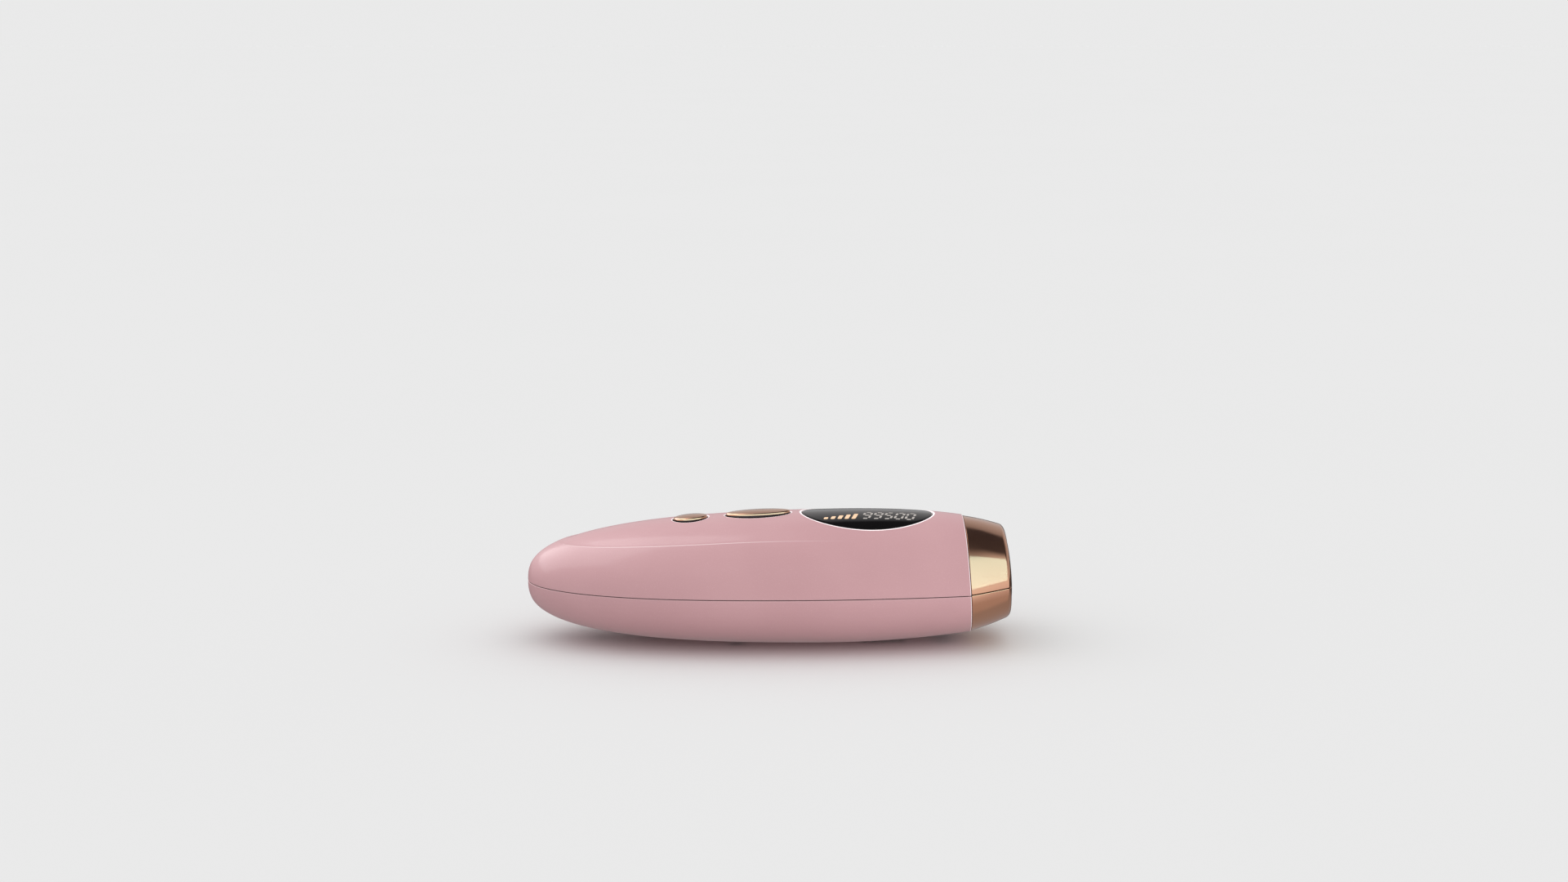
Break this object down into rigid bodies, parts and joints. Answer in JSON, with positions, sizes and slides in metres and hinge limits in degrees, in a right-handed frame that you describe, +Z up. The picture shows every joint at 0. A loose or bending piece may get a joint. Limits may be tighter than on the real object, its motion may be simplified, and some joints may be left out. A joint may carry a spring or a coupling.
{
  "type": "ipl hair remover",
  "caption": "Corded handheld light-pulse hair remover: smooth pod body with two push buttons, a display window and a pull-off lamp head with a filtered front window",
  "frame": {"origin": "centre of the small flat on the belly that the handset rests on", "axes": "+X from the tail to the treatment window, +Y to the left seen from the tail, +Z up through the buttons"},
  "size_m": [0.1748, 0.0748, 0.048],
  "materials": {
    "pink_shell": "high-gloss moulded plastic, pearly pink",
    "rose_gold": "vacuum-metallised plastic, polished rose gold",
    "black_gloss": "polished black plastic",
    "black_plastic": "fine matt moulding",
    "circuit_board": "solder-masked glass fibre",
    "steel": "bright plated steel",
    "aluminium": "bright",
    "ferrite": "ground ferrite",
    "copper": "enamelled copper wire",
    "filter_glass": "coated optical filter, polished",
    "quartz": "fused quartz, polished",
    "ceramic": "glazed white",
    "capacitor_sleeve": "shrink sleeve",
    "lcd": "polished",
    "wire_red": "smooth insulation",
    "wire_black": "smooth insulation",
    "ribbon": "satin film"
  },
  "bodies": {
    "handset": {"upper_shell": "pink_shell", "lower_shell": "pink_shell", "display_lens": "black_gloss", "lcd_frame": "black_plastic", "lcd_panel": "lcd", "control_board": "circuit_board", "flash_switch": "black_plastic", "power_switch": "black_plastic", "main_board": "circuit_board", "transformer_core": "ferrite", "transformer_winding": "copper", "power_transistor": "black_plastic", "heat_sink": "aluminium", "trigger_coil": "black_plastic", "capacitor_left": "capacitor_sleeve", "capacitor_right": "capacitor_sleeve", "power_jack": "black_plastic", "power_jack_pin": "steel", "supply_wire_red": "wire_red", "supply_wire_black": "wire_black", "lamp_wire_left": "wire_red", "lamp_wire_right": "wire_black", "ribbon_cable": "ribbon", "shell_screw_rear": "steel", "shell_screw_left": "steel", "shell_screw_right": "steel", "fan_frame": "black_plastic", "fan_stator": "copper", "front_bulkhead": "black_plastic", "bulkhead_screw_1": "steel", "bulkhead_screw_2": "steel", "bulkhead_screw_3": "steel", "bulkhead_screw_4": "steel", "contact_socket_left": "ceramic", "contact_socket_right": "ceramic"},
    "flash_key": {"flash_button": "rose_gold", "flash_plunger": "ceramic"},
    "power_key": {"power_button": "rose_gold", "power_plunger": "ceramic"},
    "fan_wheel": {"fan_rotor": "black_plastic", "fan_shaft": "steel"},
    "lamp_head": {"head_upper_cover": "rose_gold", "head_lower_cover": "rose_gold", "head_base": "black_plastic", "window_frame": "black_gloss", "filter_glass": "filter_glass", "reflector": "aluminium", "skin_sensor_left": "steel", "skin_sensor_right": "steel", "contact_pin_left": "steel", "contact_pin_right": "steel", "head_screw_1": "steel", "head_screw_2": "steel", "flash_lamp": "quartz", "trigger_wire": "steel", "lamp_electrode_left": "steel", "lamp_electrode_right": "steel", "lamp_holder_left": "ceramic", "lamp_holder_right": "ceramic"}
  },
  "joints": [
    {"name": "flash_key_press", "type": "slide", "parent": "handset", "child": "flash_key", "axis": [0, 0, -1], "range_m": [0, 0.0008]},
    {"name": "power_key_press", "type": "slide", "parent": "handset", "child": "power_key", "axis": [0, 0, -1], "range_m": [0, 0.0008]},
    {"name": "fan_spin", "type": "hinge", "parent": "handset", "child": "fan_wheel", "pos_m": [0.035, 0, 0.02235], "axis": [1, 0, 0], "continuous": true},
    {"name": "lamp_head_pull", "type": "slide", "parent": "handset", "child": "lamp_head", "axis": [0.9981, 0, 0.061], "range_m": [0, 0.04]}
  ]
}
